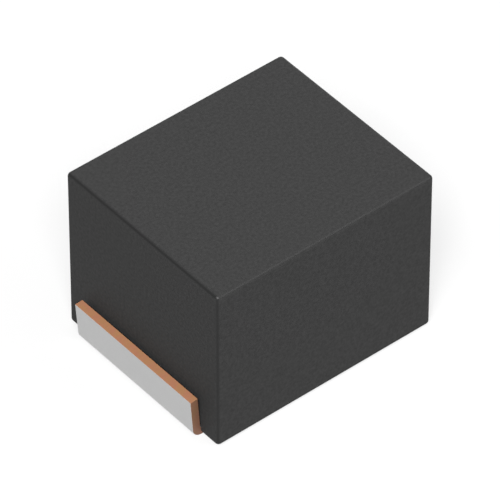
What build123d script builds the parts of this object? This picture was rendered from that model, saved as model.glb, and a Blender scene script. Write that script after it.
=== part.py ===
from build123d import *
import os
from math import radians, tan

# Shielded chip inductor, nominally 3.2 x 2.5 x 2.2 mm. All sizes are in millimetres.
# The origin is on the solder plane, in the middle of the footprint.
# +X runs from the left terminal to the right one, and +Z is up, away from the board.

# Moulded body, and the cover that it leaves over the sleeve's sides, top and the welds' ends
body_length = 2.94
body_width = 2.5
body_height = 2.15
body_edge_radius = 0.05
side_cover = 0.25
top_cover = 0.25
end_cover = 0.11

# Terminal strips
strip_thickness = 0.1
strip_width = 1.94
bend_inside_radius = 0.02
foot_standoff = 0.018
upstand_height = 0.545
upstand_lean = 4.3
upstand_gap = 0.005
foot_under_sleeve = 0.08
seat_rise = 0.12
seat_length = 0.3

# Ferrite sleeve and drum, with the glue between them
sleeve_wall = 0.18
sleeve_chamfer = 0.12
glue_gap = 0.03
glue_depth = 0.12
flange_thickness = 0.24
winding_depth = 0.21

# Winding wire and its two welds
wire_diameter = 0.1
turn_gap = 0.004
lead_standoff = 0.03
lead_straight = 0.02
weld_run = 0.12
weld_cover = 0.03

# Small gaps round the wire, so that no curved face bites into another
coil_clearance = 0.005
foot_clearance = 0.002
slot_clearance = 0.006

# The wire's bends, and the room that each wire end needs between the sleeve and the end face
wire_radius = wire_diameter / 2
slot_radius = wire_radius + slot_clearance
lead_bend = wire_radius + lead_standoff
weld_radius = wire_diameter + weld_cover
end_space = 2 * lead_bend + weld_run + weld_radius + end_cover

# The sleeve stands on the terminals' seats and fills the moulding up to its covers
body_half = body_length / 2
seat_level = seat_rise + strip_thickness
sleeve_half = body_half - end_space
sleeve_width = body_width - 2 * side_cover
sleeve_height = foot_standoff + body_height - top_cover - seat_level
axis_level = seat_level + sleeve_height / 2

# The drum lies in the sleeve's bore, and its window takes as many whole turns as fit
bore_radius = min(sleeve_width, sleeve_height) / 2 - sleeve_wall
flange_radius = bore_radius - glue_gap
waist_radius = flange_radius - winding_depth
window_half = sleeve_half - flange_thickness
turn_pitch = wire_diameter + turn_gap
turn_count = int((2 * window_half - wire_diameter - 2 * turn_gap) / turn_pitch)
coil_half = turn_count * turn_pitch / 2
coil_radius = waist_radius + coil_clearance + wire_radius

# Each wire end leaves the bottom of the coil, on one side of the middle plane
lead_level = axis_level - coil_radius
lead_offset = lead_bend + lead_straight
weld_level = strip_thickness + foot_clearance + wire_radius
riser_place = sleeve_half + lead_bend
weld_place = sleeve_half + 2 * lead_bend + weld_run

# The two ends of the part, and the side of the middle plane that each lies on
ends = {"left": -1, "right": 1}

os.makedirs("parts", exist_ok=True)

# Terminals: one folded strip each, traced along its middle line from the inner seat, down a
# 45 degree step to the foot, and round the body's lower edge to the leaning tip
strip_middle = strip_thickness / 2
foot_end = sleeve_half - foot_under_sleeve
seat_end = foot_end - seat_rise
heel = body_half + upstand_gap + strip_middle * tan(radians(45 - upstand_lean / 2))
tip = heel + (upstand_height - strip_middle) * tan(radians(upstand_lean))
terminals = []

for end, side in ends.items():
    with BuildPart() as terminal:
        with BuildSketch(Plane.XZ):
            with BuildLine():
                FilletPolyline(
                    (side * (seat_end - seat_length), seat_rise + strip_middle),
                    (side * seat_end, seat_rise + strip_middle),
                    (side * foot_end, strip_middle),
                    (side * heel, strip_middle),
                    (side * tip, upstand_height),
                    radius=bend_inside_radius + strip_middle,
                )
            trace(line_width=strip_thickness)
        extrude(amount=strip_width / 2, both=True)
    terminal.part.label = f"{end}_terminal"
    export_step(terminal.part, f"parts/{end}_terminal.step")
    terminals.append(terminal.part)

# Shield sleeve: a chamfered block with a round bore along X
with BuildSketch(Plane.YZ) as sleeve_outline:
    with Locations((0, axis_level)):
        Rectangle(sleeve_width, sleeve_height)
    chamfer(sleeve_outline.vertices(), length=sleeve_chamfer)

with BuildPart() as shield_sleeve:
    extrude(sleeve_outline.sketch, amount=sleeve_half, both=True)
    with BuildSketch(Plane.YZ):
        with Locations((0, axis_level)):
            Circle(bore_radius)
    extrude(amount=sleeve_half, both=True, mode=Mode.SUBTRACT)
shield_sleeve.part.label = "shield_sleeve"
export_step(shield_sleeve.part, "parts/shield_sleeve.step")

# Coil path: it starts and ends at the bottom of the drum
coil_axis = Axis((0, 0, axis_level), (1, 0, 0))
coil_line = Helix(
    pitch=turn_pitch,
    height=2 * coil_half,
    radius=coil_radius,
    center=(-coil_half, 0, axis_level),
    direction=(1, 0, 0),
).rotate(coil_axis, 180)
lead_corner = coil_line @ 0 - (coil_line % 0) * lead_offset
lead_side = lead_corner.Y

# Lead path at the left end; turned half round the Z axis it serves the right end too
left_lead_points = [
    coil_line @ 0,
    lead_corner,
    Vector(-riser_place, lead_side, lead_level),
    Vector(-riser_place, lead_side, weld_level),
    Vector(-weld_place, lead_side, weld_level),
]
right_lead_points = [point.rotate(Axis.Z, 180) for point in left_lead_points]

with BuildLine() as wire_path:
    add(coil_line)
    FilletPolyline(left_lead_points, radius=lead_bend)
    FilletPolyline(right_lead_points, radius=lead_bend)
wire_line = Wire(wire_path.edges())

# Winding: one round wire from weld to weld
with BuildPart() as winding:
    with BuildSketch(Plane(origin=wire_line @ 0, z_dir=wire_line % 0)):
        Circle(wire_radius)
    sweep(path=wire_line)
winding.part.label = "winding"
export_step(winding.part, "parts/winding.step")

# Drum core: the waist and both flanges are one turned shape. Each flange has a notch, from the
# waist's level out past its rim, that lets the wire end out.
notch_width = lead_offset + 2 * slot_radius
notch_depth = bore_radius - waist_radius
notch_level = axis_level - waist_radius - notch_depth / 2

with BuildPart() as drum_core:
    with BuildSketch(Plane.XZ):
        with BuildLine():
            Polyline(
                (-sleeve_half, axis_level),
                (-sleeve_half, axis_level + flange_radius),
                (-window_half, axis_level + flange_radius),
                (-window_half, axis_level + waist_radius),
                (window_half, axis_level + waist_radius),
                (window_half, axis_level + flange_radius),
                (sleeve_half, axis_level + flange_radius),
                (sleeve_half, axis_level),
                close=True,
            )
        make_face()
    revolve(axis=coil_axis)
    for side in ends.values():
        with BuildSketch(Plane.YZ.offset(side * window_half)):
            with Locations((-side * lead_side / 2, notch_level)):
                Rectangle(notch_width, notch_depth)
        extrude(amount=side * flange_thickness, mode=Mode.SUBTRACT)
drum_core.part.label = "drum_core"
export_step(drum_core.part, "parts/drum_core.step")

# Glue rings: each fills the gap between a flange's rim and the sleeve's bore, and the notch round
# the wire, where it leaves a slot that is round below the wire and open up to the notch's floor
for end, side in ends.items():
    with BuildPart() as glue_ring:
        with BuildSketch(Plane.YZ.offset(side * (sleeve_half - glue_depth))):
            with Locations((0, axis_level)):
                Circle(bore_radius)
                Circle(flange_radius, mode=Mode.SUBTRACT)
            with Locations((-side * lead_side / 2, notch_level)):
                Rectangle(notch_width, notch_depth)
            with Locations((0, axis_level)):
                Circle(bore_radius, mode=Mode.INTERSECT)
            with Locations((-side * lead_side, lead_level)):
                Circle(slot_radius, mode=Mode.SUBTRACT)
            with Locations((-side * lead_side, lead_level + slot_radius / 2)):
                Rectangle(2 * slot_radius, slot_radius, mode=Mode.SUBTRACT)
        extrude(amount=side * glue_depth)
    glue_ring.part.label = f"{end}_glue_ring"
    export_step(glue_ring.part, f"parts/{end}_glue_ring.step")

# Weld beads: a dome on each foot with the wire's end inside it, in a slot that is round above
# the wire and open down to the foot
for end, side in ends.items():
    with BuildPart() as weld_bead:
        with Locations((side * weld_place, -side * lead_side, strip_thickness)):
            Sphere(weld_radius, arc_size1=0, align=(Align.CENTER, Align.CENTER, Align.MIN))
        with BuildSketch(Plane.YZ.offset(side * weld_place)):
            with Locations((-side * lead_side, weld_level)):
                Circle(slot_radius)
            with Locations((-side * lead_side, weld_level - slot_radius / 2)):
                Rectangle(2 * slot_radius, slot_radius)
        extrude(amount=-side * weld_radius, mode=Mode.SUBTRACT)
    weld_bead.part.label = f"{end}_weld_bead"
    export_step(weld_bead.part, f"parts/{end}_weld_bead.step")

# Moulded body: a block with small rounded edges, moulded round the sleeve, the strips and the
# two wire ends
edge_pick = 0.001

with BuildPart() as moulded_body:
    with BuildSketch(Plane.XY.offset(foot_standoff)):
        Rectangle(body_length, body_width)
    extrude(amount=body_height)
    fillet(moulded_body.edges(), radius=body_edge_radius)

    # Shallow recess for each foot, open at the end face, where its upper edge is rounded too
    for side in ends.values():
        with BuildSketch(Plane.YZ.offset(side * sleeve_half)):
            with Locations((0, strip_thickness / 2)):
                Rectangle(strip_width, strip_thickness)
        extrude(amount=side * end_space, mode=Mode.SUBTRACT)
    recess_edges = moulded_body.edges().filter_by(Axis.Y).filter_by_position(
        Axis.Z, strip_thickness - edge_pick, strip_thickness + edge_pick
    )
    fillet(
        recess_edges.group_by(Axis.X)[0] + recess_edges.group_by(Axis.X)[-1],
        radius=body_edge_radius,
    )

    # Room for the strips' inner seats and for the sleeve with the drum in it
    add(terminals, mode=Mode.SUBTRACT)
    extrude(sleeve_outline.sketch, amount=sleeve_half, both=True, mode=Mode.SUBTRACT)

    # Square channel along each wire end, begun inside the sleeve's room, and a dome over each weld
    for side in ends.values():
        with BuildSketch(Plane.XZ.offset(side * lead_side)):
            with BuildLine():
                FilletPolyline(
                    (side * window_half, lead_level),
                    (side * riser_place, lead_level),
                    (side * riser_place, weld_level),
                    (side * weld_place, weld_level),
                    radius=lead_bend,
                )
            trace(line_width=2 * slot_radius)
        extrude(amount=slot_radius, both=True, mode=Mode.SUBTRACT)
        with Locations((side * weld_place, -side * lead_side, strip_thickness)):
            Sphere(weld_radius + slot_clearance, mode=Mode.SUBTRACT)
moulded_body.part.label = "moulded_body"
export_step(moulded_body.part, "parts/moulded_body.step")
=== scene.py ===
import bmesh
import bpy
from math import ceil, cos, pi, radians, sin, tan
from mathutils import Matrix, Vector


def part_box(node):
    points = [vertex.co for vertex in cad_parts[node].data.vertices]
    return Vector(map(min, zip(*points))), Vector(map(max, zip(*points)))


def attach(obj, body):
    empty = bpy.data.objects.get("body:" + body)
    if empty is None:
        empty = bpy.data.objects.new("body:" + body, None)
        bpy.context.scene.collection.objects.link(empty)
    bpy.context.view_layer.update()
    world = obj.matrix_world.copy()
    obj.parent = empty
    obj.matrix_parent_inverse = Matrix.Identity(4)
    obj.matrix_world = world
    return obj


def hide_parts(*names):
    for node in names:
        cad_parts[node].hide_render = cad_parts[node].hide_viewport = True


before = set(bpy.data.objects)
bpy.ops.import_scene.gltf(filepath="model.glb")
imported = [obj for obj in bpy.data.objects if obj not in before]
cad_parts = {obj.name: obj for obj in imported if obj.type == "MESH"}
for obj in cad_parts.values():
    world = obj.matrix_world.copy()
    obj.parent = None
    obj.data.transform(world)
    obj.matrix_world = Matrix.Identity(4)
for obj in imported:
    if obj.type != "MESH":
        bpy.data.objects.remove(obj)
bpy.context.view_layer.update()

# Shapes are worked out in millimetres, and each finished mesh is scaled to metres
MM = 0.001


def box_mm(node):
    """The lowest and the highest corner of a node's box, in millimetres."""
    low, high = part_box(node)
    return low / MM, high / MM


# Sizes read from the frame
body_low, body_high = box_mm("moulded_body")
strip_low, strip_high = box_mm("right_terminal")
sleeve_low, sleeve_high = box_mm("shield_sleeve")
wire_low, wire_high = box_mm("winding")
bead_low, bead_high = box_mm("right_weld_bead")
flange_radius = box_mm("drum_core")[1].y
bore_radius = box_mm("right_glue_ring")[1].y
glue_start = box_mm("right_glue_ring")[0].x

# Sizes that the boxes don't give
body_edge_radius = 0.05
strip_thickness = 0.1
bend_inside_radius = 0.02
upstand_height = 0.545
upstand_lean = radians(4.3)
upstand_gap = 0.005
foot_under_sleeve = 0.08
seat_rise = 0.12
strip_edge_radius = 0.006
sleeve_chamfer = 0.12
flange_thickness = 0.24
winding_depth = 0.21
wire_radius = 0.05
turn_pitch = 0.104
turn_count = 12
lead_bend = 0.08
lead_offset = 0.1
slot_clearance = 0.006
weld_radius = 0.13

# How finely the round forms are divided
edge_steps = 8
strip_edge_steps = 2
bend_step = radians(7.5)
turn_steps = 48
round_sides = 96
wire_sides = 16
ball_sides = 32
ball_rings = 24

# Edges that turn by more than this stay sharp
sharp_angle = radians(32)

# A strip's cut edges turn by more than this, and its bends by less
cut_edge_angle = radians(60)

# How far a shape that cuts reaches past what it cuts
overshoot = 0.1

# Two points nearer to each other than this become one
merge_distance = 1e-5

# Directions
along = Vector((1, 0, 0))
across = Vector((0, 1, 0))
upright = Vector((0, 0, 1))

# Places that several pieces share
body_half = body_high.x
sleeve_half = sleeve_high.x
axis_level = (sleeve_low.z + sleeve_high.z) / 2
strip_middle = strip_thickness / 2
foot_end = sleeve_half - foot_under_sleeve
heel = body_half + upstand_gap + strip_middle * tan(radians(45) - upstand_lean / 2)
tip = heel + (upstand_height - strip_middle) * tan(upstand_lean)
waist_radius = flange_radius - winding_depth
waist_level = axis_level - waist_radius
window_half = sleeve_half - flange_thickness
coil_radius = wire_high.y - wire_radius
coil_half = turn_count * turn_pitch / 2
lead_level = axis_level - coil_radius
weld_level = wire_low.z + wire_radius
weld_place = wire_high.x
riser_place = sleeve_half + lead_bend
lead_side = -(bead_low.y + bead_high.y) / 2
slot_radius = wire_radius + slot_clearance
notch_width = lead_offset + 2 * slot_radius

# The two ends of the part, and the side of the middle plane that each lies on
ends = {"left": -1, "right": 1}


# Lines

def rounded_line(corners, radius):
    """Points along a line with rounded corners, each with the line's direction there."""
    points = [(corners[0], (corners[1] - corners[0]).normalized())]
    for before, corner, after in zip(corners, corners[1:], corners[2:]):
        way_in = (corner - before).normalized()
        way_out = (after - corner).normalized()
        turn = way_in.angle(way_out)
        start = corner - way_in * radius * tan(turn / 2)
        inward = (way_out - way_in * way_out.dot(way_in)).normalized()
        centre = start + inward * radius
        count = ceil(turn / bend_step)
        for i in range(count + 1):
            angle = turn * i / count
            arm = way_in * sin(angle) - inward * cos(angle)
            points.append((centre + arm * radius, way_in * cos(angle) + inward * sin(angle)))
    points.append((corners[-1], (corners[-1] - corners[-2]).normalized()))
    return points


def sides_of(line, half):
    """The two sides of a flat ribbon in the XZ plane, half each way from its middle line."""
    arms = [Vector((-way.z, 0, way.x)) * half for _, way in line]
    left = [point + arm for (point, _), arm in zip(line, arms)]
    right = [point - arm for (point, _), arm in zip(line, arms)]
    return left, right


def circle(centre, radius, one, other, sides):
    """Points round a centre, from the direction one towards the direction other."""
    angles = [2 * pi * i / sides for i in range(sides)]
    return [centre + (one * cos(angle) + other * sin(angle)) * radius for angle in angles]


def from_middle(side, near, far):
    """Two distances from the middle as places along X at one end of the part, the lower first."""
    return sorted((side * near, side * far))


# Meshes

def skin(rings):
    """A closed solid over rings that have the same number of points each."""
    mesh = bmesh.new()
    rows = [[mesh.verts.new(point) for point in ring] for ring in rings]
    for one, two in zip(rows, rows[1:]):
        for i in range(len(one)):
            j = (i + 1) % len(one)
            mesh.faces.new((one[i], one[j], two[j], two[i]))
    mesh.faces.new(rows[0])
    mesh.faces.new(rows[-1])
    bmesh.ops.recalc_face_normals(mesh, faces=mesh.faces)
    return mesh


def prism(outline, way, near, far):
    """A solid with the outline's shape, from near to far in the given direction."""
    return skin([[point + way * place for point in outline] for place in (near, far)])


def lathe(profile):
    """A solid turned round the coil's axis, from pairs of a place along X and a radius."""
    rings = []
    for place, radius in profile:
        centre = along * place + upright * axis_level
        rings.append(circle(centre, radius, across, upright, round_sides))
    return skin(rings)


def tube(line, radius):
    """A round wire along a line."""
    arm = line[0][1].orthogonal()
    rings = []
    for point, way in line:
        arm = (arm - way * arm.dot(way)).normalized()
        rings.append(circle(point, radius, arm, way.cross(arm), wire_sides))
    return skin(rings)


def block(low, high):
    """A box between two corners."""
    mesh = bmesh.new()
    bmesh.ops.create_cube(mesh, size=1)
    size = high - low
    bmesh.ops.transform(
        mesh,
        matrix=Matrix.Translation((low + high) / 2) @ Matrix.Diagonal((*size, 1)),
        verts=mesh.verts,
    )
    return mesh


def ball(centre, radius):
    mesh = bmesh.new()
    bmesh.ops.create_uvsphere(
        mesh,
        u_segments=ball_sides,
        v_segments=ball_rings,
        radius=radius,
        matrix=Matrix.Translation(centre),
    )
    return mesh


def bevel(mesh, edges, radius, steps):
    """Rounds edges. The new faces take the material of the faces beside them."""
    bmesh.ops.bevel(
        mesh,
        geom=edges,
        offset=radius,
        offset_type="OFFSET",
        segments=steps,
        profile=0.5,
        affect="EDGES",
        material=-1,
    )


# Objects

def add_object(name, data):
    thing = bpy.data.objects.new(name, data)
    bpy.context.scene.collection.objects.link(thing)
    return thing


def add_mesh(name, mesh):
    """Turns a mesh that is being built into an object."""
    data = bpy.data.meshes.new(name)
    mesh.to_mesh(data)
    mesh.free()
    return add_object(name, data)


def discard(thing):
    data = thing.data
    bpy.data.objects.remove(thing)
    bpy.data.meshes.remove(data)


def cut(solid, *tools):
    """The solid with each tool taken out of it."""
    target = add_mesh("solid", solid)
    cutters = [add_mesh("tool", tool) for tool in tools]
    for cutter in cutters:
        modifier = target.modifiers.new("cut", "BOOLEAN")
        modifier.operation = "DIFFERENCE"
        modifier.solver = "EXACT"
        modifier.object = cutter
    depsgraph = bpy.context.evaluated_depsgraph_get()
    result = bmesh.new()
    result.from_mesh(target.evaluated_get(depsgraph).to_mesh())
    for thing in [target, *cutters]:
        discard(thing)
    bmesh.ops.remove_doubles(result, verts=result.verts, dist=merge_distance)
    return result


def piece(name, mesh, materials, replaced):
    """Puts a finished mesh into the scene as a piece of the part.

    The normals are weighted by face area, so that flat faces stay flat beside their rounded edges.
    That is done in millimetres, because such small areas vanish in metres.
    """
    bmesh.ops.recalc_face_normals(mesh, faces=mesh.faces)
    for face in mesh.faces:
        face.smooth = True
    for edge in mesh.edges:
        edge.smooth = not (len(edge.link_faces) == 2 and edge.calc_face_angle() > sharp_angle)
    large = add_mesh("large", mesh)
    for material in materials:
        large.data.materials.append(material)
    modifier = large.modifiers.new("weights", "WEIGHTED_NORMAL")
    modifier.keep_sharp = True
    depsgraph = bpy.context.evaluated_depsgraph_get()
    data = bpy.data.meshes.new_from_object(large.evaluated_get(depsgraph))
    discard(large)
    data.name = name
    data.transform(Matrix.Scale(MM, 4))
    thing = add_object(name, data)
    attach(thing, "root")
    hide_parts(replaced)


# Materials

# The colour sockets of a mix node share their names with those of other types
mix_factor = 0
mix_under = 6
mix_over = 7
mix_result = 2

# The rim of a rounded edge begins where the normal's largest part falls below the first value, and
# it is full below the second
rim_start = 0.995
rim_full = 0.8


def rgba(colour):
    """An opaque colour from three numbers, or a grey from one."""
    return (*colour, 1) if isinstance(colour, tuple) else (colour, colour, colour, 1)


class Nodes:
    """A new node material with its principled shader, and short ways to add nodes."""

    def __init__(self, name, **values):
        self.material = bpy.data.materials.new(name)
        self.material.use_nodes = True
        self.tree = self.material.node_tree
        self.shader = self.tree.nodes["Principled BSDF"]
        self.fill(self.shader, **values)
        self.coordinates = self.add("ShaderNodeTexCoord")

    def set(self, socket, value):
        """Links a socket to another one, or gives it a value of its own."""
        if isinstance(value, bpy.types.NodeSocket):
            self.tree.links.new(value, socket)
        else:
            socket.default_value = value

    def fill(self, node, **values):
        """Sets inputs of a node by name, with an underscore for each space."""
        for name, value in values.items():
            self.set(node.inputs[name.replace("_", " ")], value)

    def add(self, kind, **values):
        node = self.tree.nodes.new(kind)
        self.fill(node, **values)
        return node

    def finish(self, **values):
        """Sets the shader's inputs and gives back the material."""
        self.fill(self.shader, **values)
        return self.material

    def noise(self, size_mm, detail=2.0, roughness=0.5, stretch=(1, 1, 1), seed=0.0):
        """Noise from 0 to 1, with spots about size_mm across.

        The three numbers in stretch draw the spots out along X, Y and Z.
        """
        mapping = self.add(
            "ShaderNodeMapping",
            Vector=self.coordinates.outputs["Object"],
            Location=(seed, seed, seed),
            Scale=tuple(1 / (size_mm * MM * factor) for factor in stretch),
        )
        node = self.add(
            "ShaderNodeTexNoise",
            Vector=mapping.outputs["Vector"],
            Scale=1.0,
            Detail=detail,
            Roughness=roughness,
        )
        return node.outputs["Fac"]

    def ramp(self, factor, *stops):
        """A colour between two stops, which are pairs of a factor and a colour."""
        node = self.add("ShaderNodeValToRGB", Fac=factor)
        for element, (position, colour) in zip(node.color_ramp.elements, stops):
            element.position = position
            element.color = rgba(colour)
        return node.outputs["Color"]

    def span(self, factor, low, high, start=0.0, full=1.0):
        """A value from low to high, as the factor goes from start to full."""
        node = self.add(
            "ShaderNodeMapRange",
            Value=factor,
            From_Min=start,
            From_Max=full,
            To_Min=low,
            To_Max=high,
        )
        return node.outputs["Result"]

    def mix(self, factor, under, over):
        """The colour of the socket under, with the colour over laid on it by the factor."""
        node = self.tree.nodes.new("ShaderNodeMix")
        node.data_type = "RGBA"
        self.set(node.inputs[mix_factor], factor)
        self.set(node.inputs[mix_under], under)
        self.set(node.inputs[mix_over], rgba(over))
        return node.outputs[mix_result]

    def rim(self):
        """From 0 on the flat faces to 1 in the middle of a rounded edge, or of a corner."""
        size = self.add("ShaderNodeVectorMath", Vector=self.coordinates.outputs["Normal"])
        size.operation = "ABSOLUTE"
        parts = self.add("ShaderNodeSeparateXYZ", Vector=size.outputs["Vector"])
        largest = parts.outputs["X"]
        for axis in "YZ":
            pick = self.add("ShaderNodeMath")
            pick.operation = "MAXIMUM"
            self.set(pick.inputs[0], largest)
            self.set(pick.inputs[1], parts.outputs[axis])
            largest = pick.outputs["Value"]
        return self.span(largest, 0.0, 1.0, rim_start, rim_full)

    def bump(self, height, depth_mm):
        """Small hills and hollows, depth_mm from the lowest to the highest."""
        return self.add("ShaderNodeBump", Height=height, Distance=depth_mm * MM).outputs["Normal"]


def mould_compound():
    """Near-black epoxy with a fine even grain. Its rounded edges are slightly glossy and carry
    painted shade, a darker colour.
    """
    m = Nodes("mould_compound", Specular_IOR_Level=0.04, Coat_Roughness=0.45)
    grain = m.noise(0.035, detail=3.0, roughness=0.6)
    cloud = m.noise(0.25, seed=3.1)
    rim = m.rim()
    colour = m.ramp(grain, (0.3, 0.0123), (0.7, 0.0185))
    colour = m.mix(m.span(cloud, 0.0, 0.25), colour, 0.0147)
    return m.finish(
        # Painted shade: the rounded edges are darkened towards 0.0072, standing in for the dark
        # lines that shade and reflection draw along them
        Base_Color=m.mix(rim, colour, 0.0072),
        Roughness=m.span(rim, m.span(grain, 0.64, 0.52), 0.42),
        Coat_Weight=m.span(rim, 0.0, 0.19),
        Normal=m.bump(grain, 0.0009),
    )


def tin_plate():
    """Matte electroplated tin, with fine crystals and soft clouding."""
    m = Nodes("tin_plate", Metallic=1.0)
    crystals = m.noise(0.012)
    cloud = m.noise(0.3, seed=1.7)
    colour = m.ramp(crystals, (0.3, 0.411), (0.7, 0.440))
    return m.finish(
        Base_Color=m.mix(m.span(cloud, 0.0, 0.3), colour, 0.424),
        Roughness=m.span(crystals, 0.5, 0.6),
        Normal=m.bump(crystals, 0.0004),
    )


def cut_copper(name, light, dark, stretch, smooth, rough):
    """Bare sheared copper: patches of two hues, under fine lighter and smoother marks."""
    m = Nodes(name, Metallic=0.5)
    marks = m.noise(0.012, stretch=stretch)
    tarnish = m.noise(0.09, seed=5.3)
    towards_yellow = (0.94, 1.18, 0.82)
    yellowish = tuple(part * factor for part, factor in zip(dark, towards_yellow))
    patches = m.ramp(tarnish, (0.4, dark), (0.6, yellowish))
    return m.finish(
        Base_Color=m.mix(marks, patches, light),
        Roughness=m.span(marks, rough, smooth),
        Normal=m.bump(marks, 0.0008),
    )


def sintered_ferrite():
    """Dark ceramic with fine pale grains and a few pores."""
    m = Nodes("sintered_ferrite")
    grain = m.noise(0.02, detail=4.0, roughness=0.7, seed=2.2)
    pores = m.noise(0.06, seed=7.9)
    colour = m.ramp(grain, (0.35, (0.045, 0.043, 0.045)), (0.75, (0.085, 0.080, 0.082)))
    return m.finish(
        Base_Color=m.mix(m.ramp(pores, (0.3, 1.0), (0.38, 0.0)), colour, 0.02),
        Roughness=m.span(grain, 0.6, 0.45),
        Normal=m.bump(grain, 0.002),
    )


def enamelled_copper():
    """Copper under a clear amber enamel, a little uneven along the wire."""
    m = Nodes("enamelled_copper", Metallic=1.0, Coat_Weight=0.6, Coat_Roughness=0.12)
    patches = m.noise(0.15, detail=3.0, seed=4.4)
    fine = m.noise(0.015, seed=9.1)
    return m.finish(
        Base_Color=m.ramp(patches, (0.3, (0.50, 0.17, 0.055)), (0.7, (0.64, 0.25, 0.09))),
        Roughness=m.span(fine, 0.38, 0.26),
        Normal=m.bump(fine, 0.0005),
    )


def amber_glue():
    """Cured epoxy glue, amber and slightly rippled."""
    m = Nodes("amber_glue")
    ripple = m.noise(0.05, seed=6.6)
    cloud = m.noise(0.12, detail=3.0, seed=8.3)
    return m.finish(
        Base_Color=m.ramp(cloud, (0.3, (0.26, 0.15, 0.045)), (0.7, (0.38, 0.25, 0.09))),
        Roughness=m.span(ripple, 0.34, 0.22),
        Normal=m.bump(ripple, 0.004),
    )


def weld_alloy():
    """Melted tin and copper, dull and finely wrinkled."""
    m = Nodes("weld_alloy", Metallic=1.0)
    wrinkle = m.noise(0.02, detail=3.0, seed=3.7)
    stain = m.noise(0.06, seed=1.2)
    return m.finish(
        Base_Color=m.ramp(stain, (0.35, (0.42, 0.38, 0.33)), (0.7, (0.56, 0.54, 0.51))),
        Roughness=m.span(wrinkle, 0.5, 0.35),
        Normal=m.bump(wrinkle, 0.002),
    )


compound = mould_compound()
tin = tin_plate()
ferrite = sintered_ferrite()
enamel = enamelled_copper()
glue = amber_glue()
weld = weld_alloy()
tip_copper = cut_copper(
    "tip_copper",
    light=(0.272, 0.120, 0.065),
    dark=(0.226, 0.096, 0.0535),
    stretch=(8, 1, 8),
    smooth=0.5,
    rough=0.6,
)
# Painted shade: the sheared sides are the same copper as the tip, drawn about half as bright
# because they face sideways, away from the light from above
shaded_edge_copper = cut_copper(
    "shaded_edge_copper",
    light=(0.151, 0.0685, 0.041),
    dark=(0.121, 0.053, 0.032),
    stretch=(1, 12, 1),
    smooth=0.5,
    rough=0.65,
)


# Shapes that several pieces share

def strip_line(side):
    """A strip's middle line, from its inner seat to its tip."""
    seat_end = foot_end - seat_rise
    corners = [
        Vector((side * strip_low.x, 0, seat_rise + strip_middle)),
        Vector((side * seat_end, 0, seat_rise + strip_middle)),
        Vector((side * foot_end, 0, strip_middle)),
        Vector((side * heel, 0, strip_middle)),
        Vector((side * tip, 0, upstand_height)),
    ]
    return rounded_line(corners, bend_inside_radius + strip_middle)


def sleeve_block():
    """The sleeve's outside, with its long edges chamfered."""
    outline = [
        Vector((0, sleeve_high.y, sleeve_high.z - sleeve_chamfer)),
        Vector((0, sleeve_high.y - sleeve_chamfer, sleeve_high.z)),
        Vector((0, sleeve_low.y + sleeve_chamfer, sleeve_high.z)),
        Vector((0, sleeve_low.y, sleeve_high.z - sleeve_chamfer)),
        Vector((0, sleeve_low.y, sleeve_low.z + sleeve_chamfer)),
        Vector((0, sleeve_low.y + sleeve_chamfer, sleeve_low.z)),
        Vector((0, sleeve_high.y - sleeve_chamfer, sleeve_low.z)),
        Vector((0, sleeve_high.y, sleeve_low.z + sleeve_chamfer)),
    ]
    return prism(outline, along, sleeve_low.x, sleeve_high.x)


def notch_room(side, near, far):
    """Room for a wire end at a flange, from the waist's level down past the rim."""
    middle = -side * lead_side / 2
    near, far = from_middle(side, near, far)
    low = Vector((near, middle - notch_width / 2, axis_level - bore_radius))
    high = Vector((far, middle + notch_width / 2, waist_level))
    return block(low, high)


def wire_slot(side, level, opening, near, far):
    """Room for a straight wire, round on one side and open upwards (1) or downwards (-1)."""
    centre = Vector((0, -side * lead_side, level))
    outline = []
    for i in range(wire_sides + 1):
        angle = pi * i / wire_sides
        outline.append(centre + Vector((0, cos(angle), -opening * sin(angle))) * slot_radius)
    outline.append(centre + Vector((0, -slot_radius, opening * slot_radius)))
    outline.append(centre + Vector((0, slot_radius, opening * slot_radius)))
    return prism(outline, along, *from_middle(side, near, far))


def weld_spot(side):
    """The middle of a weld bead, on top of the foot."""
    return Vector((side * weld_place, -side * lead_side, strip_thickness))


# Moulded body: a block with rounded edges, recesses for the feet, and the room for what is inside

def foot_room(side):
    """The strip's way in and the foot's recess, whose upper edge is rounded at the end face."""
    inner_line = [(point, way) for point, way in strip_line(1) if point.x < sleeve_half]
    over, under = sides_of(inner_line, strip_middle)
    arc = []
    for i in range(edge_steps + 1):
        angle = pi / 2 * i / edge_steps
        arc.append(Vector((
            body_half - body_edge_radius + body_edge_radius * sin(angle),
            0,
            strip_thickness + body_edge_radius - body_edge_radius * cos(angle),
        )))
    outside = body_half + overshoot
    below = body_low.z - overshoot
    outer = [
        Vector((outside, 0, arc[-1].z)),
        Vector((outside, 0, below)),
        Vector((sleeve_half, 0, below)),
        Vector((sleeve_half, 0, 0)),
    ]
    outline = [Vector((side * p.x, 0, p.z)) for p in over + arc + outer + under[::-1]]
    return prism(outline, across, strip_low.y, strip_high.y)


def lead_room(side):
    """Square channel along a wire end, begun inside the sleeve's room."""
    corners = [
        Vector((side * window_half, 0, lead_level)),
        Vector((side * riser_place, 0, lead_level)),
        Vector((side * riser_place, 0, weld_level)),
        Vector((side * weld_place, 0, weld_level)),
    ]
    over, under = sides_of(rounded_line(corners, lead_bend), slot_radius)
    middle = -side * lead_side
    return prism(over + under[::-1], across, middle - slot_radius, middle + slot_radius)


def weld_room(side):
    return ball(weld_spot(side), weld_radius + slot_clearance)


body_mesh = block(body_low, body_high)
bevel(body_mesh, body_mesh.edges[:], body_edge_radius, edge_steps)
rooms = [foot_room(side) for side in ends.values()]
rooms.append(sleeve_block())
rooms += [lead_room(side) for side in ends.values()]
rooms += [weld_room(side) for side in ends.values()]
piece("moulded_block", cut(body_mesh, *rooms), [compound], "moulded_body")


# Terminal strips: tin on the broad faces, bare copper where the strip is cut

strip_materials = [tin, tip_copper, shaded_edge_copper]
broad_face, end_face, side_face = range(3)


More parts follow.
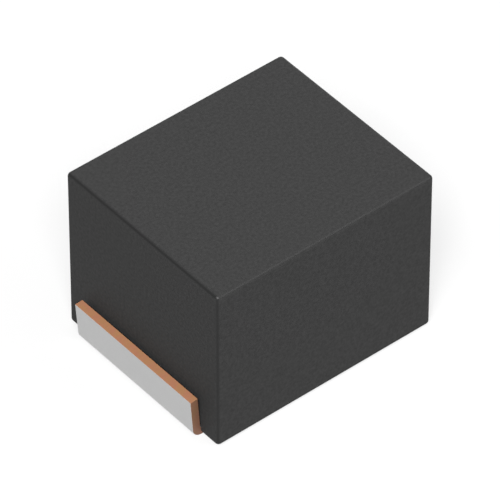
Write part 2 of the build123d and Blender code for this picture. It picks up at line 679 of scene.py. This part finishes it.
def strip_mesh(side):
    """One folded strip, with small breaks along its cut edges."""
    rings = []
    for over, under in zip(*sides_of(strip_line(side), strip_middle)):
        rings.append([
            over + across * strip_low.y,
            over + across * strip_high.y,
            under + across * strip_high.y,
            under + across * strip_low.y,
        ])
    mesh = skin(rings)

    # The skin's last two faces are the ones that close its ends
    *bands, first_end, last_end = mesh.faces
    for band in bands:
        looks_sideways = abs(band.normal.dot(across)) > 0.5
        band.material_index = side_face if looks_sideways else broad_face
    first_end.material_index = end_face
    last_end.material_index = end_face
    cut_edges = [edge for edge in mesh.edges if edge.calc_face_angle() > cut_edge_angle]
    bevel(mesh, cut_edges, strip_edge_radius, strip_edge_steps)
    return mesh


for end, side in ends.items():
    piece(f"{end}_strip", strip_mesh(side), strip_materials, f"{end}_terminal")


# Ferrite sleeve and drum

bore = lathe([
    (sleeve_low.x - overshoot, bore_radius),
    (sleeve_high.x + overshoot, bore_radius),
])
piece("ferrite_sleeve", cut(sleeve_block(), bore), [ferrite], "shield_sleeve")

drum_mesh = lathe([
    (-sleeve_half, flange_radius),
    (-window_half, flange_radius),
    (-window_half, waist_radius),
    (window_half, waist_radius),
    (window_half, flange_radius),
    (sleeve_half, flange_radius),
])
notches = [notch_room(side, window_half, sleeve_half + overshoot) for side in ends.values()]
piece("ferrite_drum", cut(drum_mesh, *notches), [ferrite], "drum_core")


# Winding: from one weld, up the riser and through the notch, round the coil, and out again

# The coil sets out across the middle plane, away from the left wire end's side
coil_turn = -1 if lead_side > 0 else 1


def coil_point(angle):
    """A point of the coil and its direction there, at an angle turned from its left end."""
    point = Vector((
        turn_pitch * angle / (2 * pi) - coil_half,
        coil_turn * coil_radius * sin(angle),
        axis_level - coil_radius * cos(angle),
    ))
    way = Vector((
        turn_pitch / (2 * pi),
        coil_turn * coil_radius * cos(angle),
        coil_radius * sin(angle),
    ))
    return point, way.normalized()


coil_steps = turn_steps * turn_count
coil_line = [coil_point(2 * pi * turn_count * i / coil_steps) for i in range(coil_steps + 1)]
coil_start, first_way = coil_line[0]
left_lead = [
    Vector((-weld_place, lead_side, weld_level)),
    Vector((-riser_place, lead_side, weld_level)),
    Vector((-riser_place, lead_side, lead_level)),
    coil_start - first_way * lead_offset,
    coil_start,
]
right_lead = [Vector((-p.x, -p.y, p.z)) for p in reversed(left_lead)]
wire_line = (
    rounded_line(left_lead, lead_bend)[:-1]
    + coil_line
    + rounded_line(right_lead, lead_bend)[1:]
)
piece("coil_wire", tube(wire_line, wire_radius), [enamel], "winding")


# Glue rings and weld beads

def glue_mesh(side):
    """Glue that fills the gap between a flange and the bore, and the notch round the wire."""
    near, far = from_middle(side, glue_start, sleeve_half)
    flange = cut(
        lathe([(near - overshoot, flange_radius), (far + overshoot, flange_radius)]),
        notch_room(side, glue_start - 2 * overshoot, sleeve_half + 2 * overshoot),
    )
    return cut(
        lathe([(near, bore_radius), (far, bore_radius)]),
        flange,
        wire_slot(side, lead_level, 1, glue_start - overshoot, sleeve_half + overshoot),
    )


def bead_mesh(side):
    """A dome of metal on the foot, round the wire's end."""
    spot = weld_spot(side)
    bead_width = 2 * weld_radius
    lower_half = block(
        spot - Vector((bead_width, bead_width, bead_width)),
        spot + Vector((bead_width, bead_width, 0)),
    )
    return cut(
        ball(spot, weld_radius),
        lower_half,
        wire_slot(side, weld_level, -1, weld_place - bead_width, weld_place),
    )


for end, side in ends.items():
    piece(f"{end}_core_glue", glue_mesh(side), [glue], f"{end}_glue_ring")
    piece(f"{end}_wire_weld", bead_mesh(side), [weld], f"{end}_weld_bead")


# Floor: pale and matte, and clear from below so that the feet can be looked at

def floor_material():
    m = Nodes(
        "pale_floor",
        Base_Color=rgba(0.12),
        Roughness=0.9,
        Specular_IOR_Level=0.0,
        Emission_Color=rgba(1.0),
        Emission_Strength=0.63,
    )
    pick = m.add("ShaderNodeMixShader")
    factor, from_above, from_below = pick.inputs
    m.set(factor, m.add("ShaderNodeNewGeometry").outputs["Backfacing"])
    m.set(from_above, m.shader.outputs["BSDF"])
    m.set(from_below, m.add("ShaderNodeBsdfTransparent").outputs["BSDF"])
    m.fill(m.tree.nodes["Material Output"], Surface=pick.outputs["Shader"])
    return m.material


# From here on, sizes are in metres. The floor lies a hair below the feet, so that no two faces are
# in one plane.
floor_half = 0.5
floor_drop = 0.002 * MM
floor_mesh = bmesh.new()
bmesh.ops.create_grid(
    floor_mesh,
    x_segments=1,
    y_segments=1,
    size=floor_half,
    matrix=Matrix.Translation((0, 0, -floor_drop)),
)
floor = add_mesh("floor", floor_mesh)
floor.data.materials.append(floor_material())

# Camera at the photograph's place, which was worked out from the block's corners. It is shifted
# down a little, because the block's middle lies just above the middle of the frame.
camera_azimuth = radians(50.43)
camera_elevation = radians(43.31)
camera_distance = 65.71 * MM
camera_drop = 0.0156 * MM
focal_pixels = 6209.7
frame_pixels = 500
sensor_mm = 36

aim = Vector((0, 0, (body_low.z + body_high.z) / 2 * MM))
back = Vector((
    -cos(camera_elevation) * cos(camera_azimuth),
    -cos(camera_elevation) * sin(camera_azimuth),
    sin(camera_elevation),
))
rightward = Vector((sin(camera_azimuth), -cos(camera_azimuth), 0))
upward = back.cross(rightward)
camera_place = aim + back * camera_distance - upward * camera_drop

camera_data = bpy.data.cameras.new("camera")
camera_data.sensor_width = sensor_mm
camera_data.lens = focal_pixels / frame_pixels * sensor_mm
camera_data.clip_start = 0.002
camera_data.clip_end = 10
camera = add_object("camera", camera_data)
turn = Matrix((rightward, upward, back)).transposed().to_4x4()
camera.matrix_world = Matrix.Translation(camera_place) @ turn
bpy.context.scene.camera = camera


# Light: large soft lamps in a pale room

lamp_distance = 0.3
room_strength = 0.2


def soft_lamp(name, way, size, power):
    """A square lamp that looks at the part from the given direction."""
    data = bpy.data.lights.new(name, "AREA")
    data.shape = "SQUARE"
    data.size = size
    data.energy = power
    lamp = add_object(name, data)
    way = Vector(way).normalized()
    lamp.location = aim + way * lamp_distance
    lamp.rotation_mode = "QUATERNION"
    lamp.rotation_quaternion = (-way).to_track_quat("-Z", "Y")


soft_lamp("beside_camera", (-0.46, -0.56, 0.69), size=0.12, power=1.96)
soft_lamp("upper_left", (-0.55, -0.30, 0.83), size=0.12, power=1.39)
soft_lamp("right_front", (0.46, -0.69, 0.56), size=0.2, power=0.88)
soft_lamp("overhead_right", (0.5, -0.15, 0.85), size=0.2, power=0.2)
soft_lamp("back", (0.7, 0.66, 0.2), size=0.25, power=0.6)

world = bpy.data.worlds.new("pale_room")
world.use_nodes = True
background = world.node_tree.nodes["Background"]
background.inputs["Color"].default_value = rgba(1.0)
background.inputs["Strength"].default_value = room_strength
bpy.context.scene.world = world
bpy.context.scene.view_settings.view_transform = "Standard"
bpy.context.scene.view_settings.look = "None"
